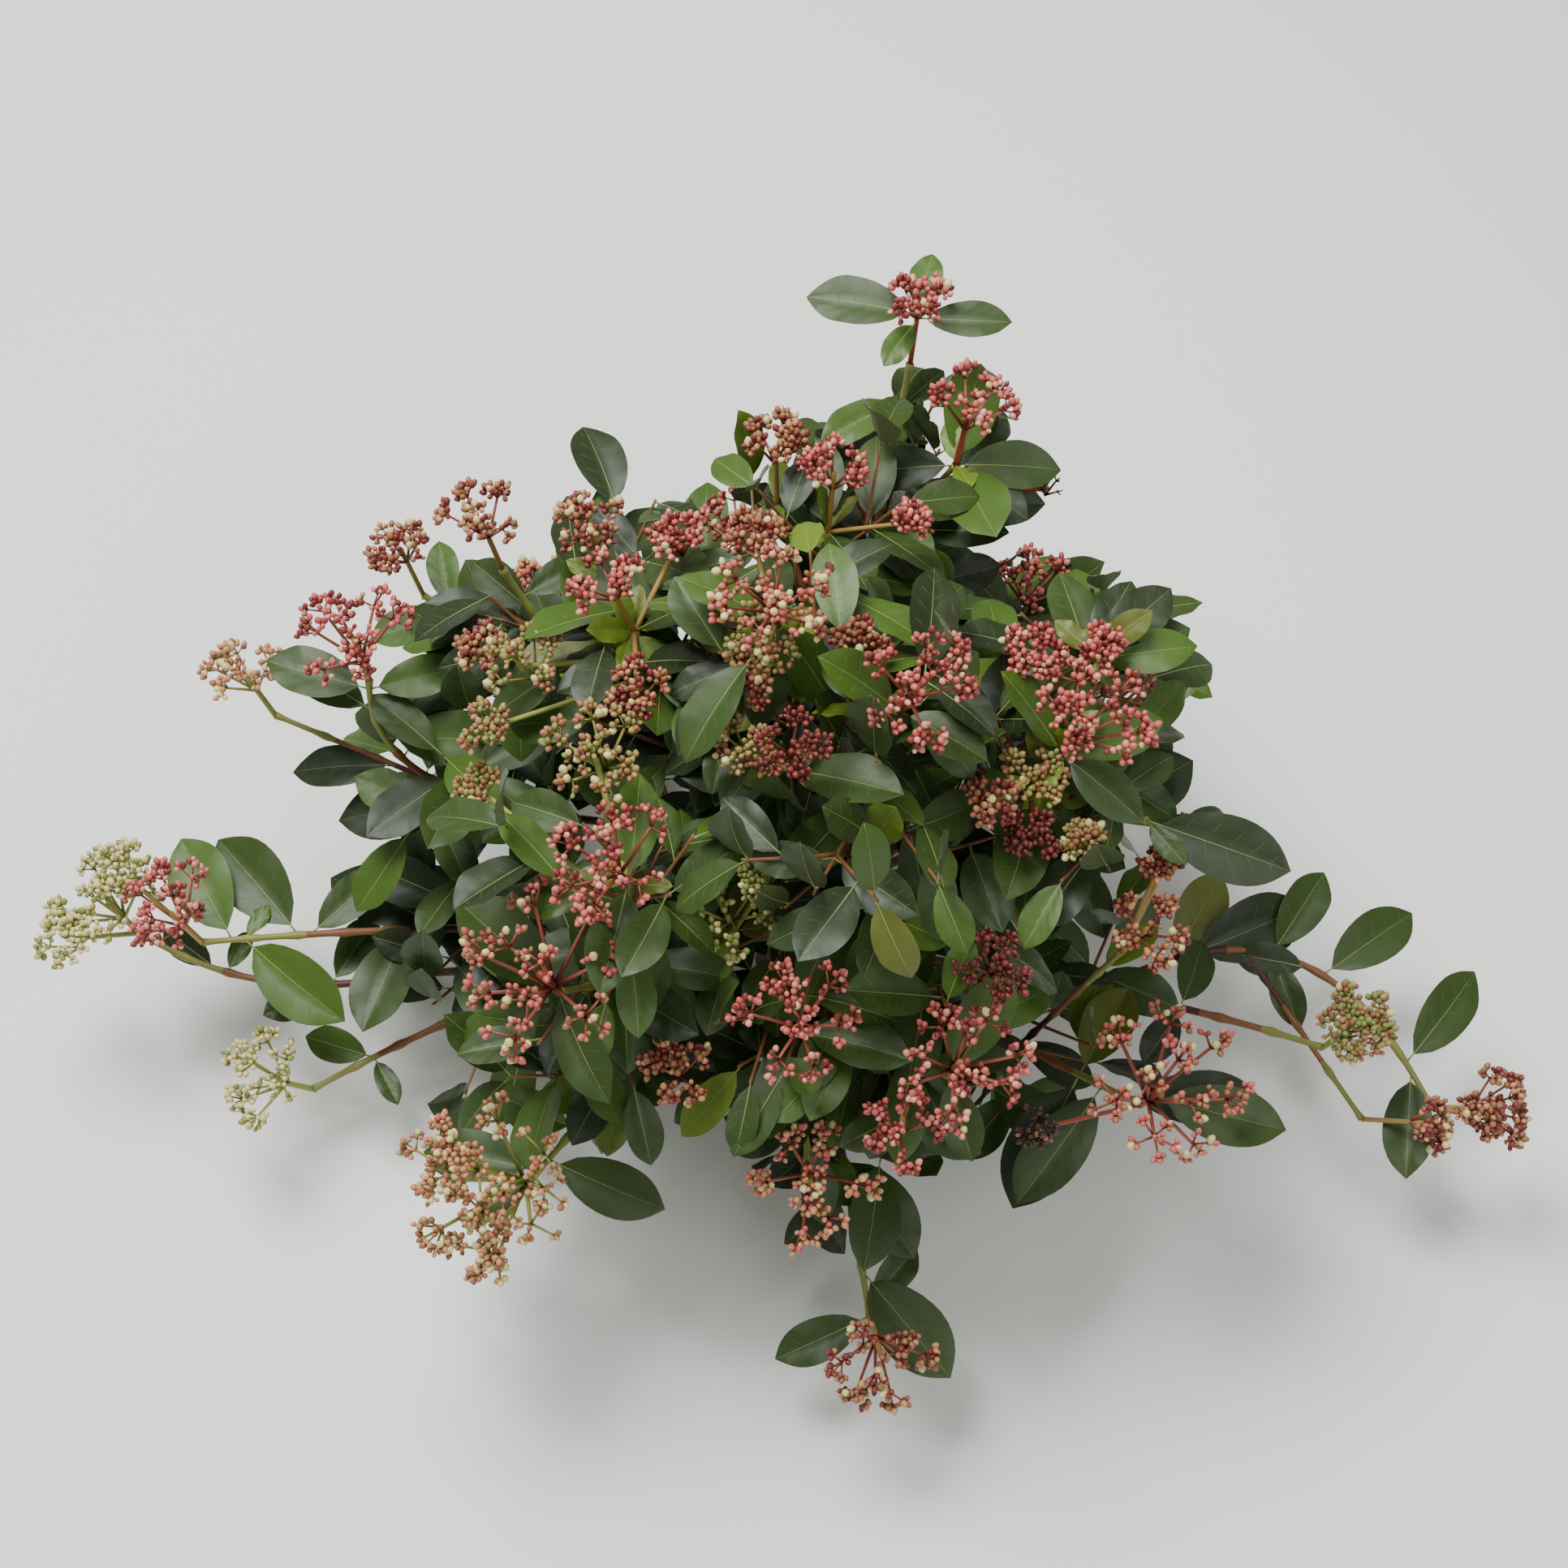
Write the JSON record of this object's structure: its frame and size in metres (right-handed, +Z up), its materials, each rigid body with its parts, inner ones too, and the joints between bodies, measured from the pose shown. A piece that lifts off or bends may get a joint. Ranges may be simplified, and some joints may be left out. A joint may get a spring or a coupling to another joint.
{
  "type": "laurustinus shrub",
  "caption": "Rooted evergreen laurustinus shrub in bud: a short leaning stem, slender boughs and leafy masses that end in flat heads of round buds.",
  "frame": {"origin": "middle of the flat cut under the stem, at ground level", "axes": "+X along the shrub's widest spread, to the right as seen from its front; +Y to its back; +Z straight up from the ground"},
  "size_m": [0.8455, 0.565, 0.4455],
  "materials": {
    "bark": "matte",
    "foliage": "satin",
    "buds": "matte"
  },
  "bodies": {
    "root": {"stem": "bark", "bough_crown": "bark", "mass_crown": "foliage", "bough_low_left": "bark", "mass_low_left": "foliage", "bough_left": "bark", "mass_left": "foliage", "bough_left_front": "bark", "mass_left_front": "foliage", "bough_front": "bark", "mass_front": "foliage", "bough_lower_right": "bark", "mass_lower_right": "foliage", "bough_right_shoot": "bark", "mass_right_shoot": "foliage", "bough_right_top": "bark", "mass_right_top": "foliage", "bough_top_shoot": "bark", "mass_top_shoot": "foliage", "bough_back_low": "bark", "mass_back_low": "foliage", "bough_back_right": "bark", "mass_back_right": "foliage", "bough_upper_left": "bark", "mass_upper_left": "foliage", "bough_far_left": "bark", "mass_far_left": "foliage", "bough_low_left_green": "bark", "mass_low_left_green": "foliage", "bough_inner_left": "bark", "mass_inner_left": "foliage", "bough_crown_back": "bark", "mass_crown_back": "foliage", "bough_right_leaves": "bark", "mass_right_leaves": "foliage", "bough_lower_left": "bark", "mass_lower_left": "foliage", "bough_bottom_shoot": "bark", "mass_bottom_shoot": "foliage", "bough_right_dome": "bark", "mass_right_dome": "foliage", "bough_back_left_low": "bark", "mass_back_left_low": "foliage", "bough_back_right_low": "bark", "mass_back_right_low": "foliage"}
  },
  "joints": []
}
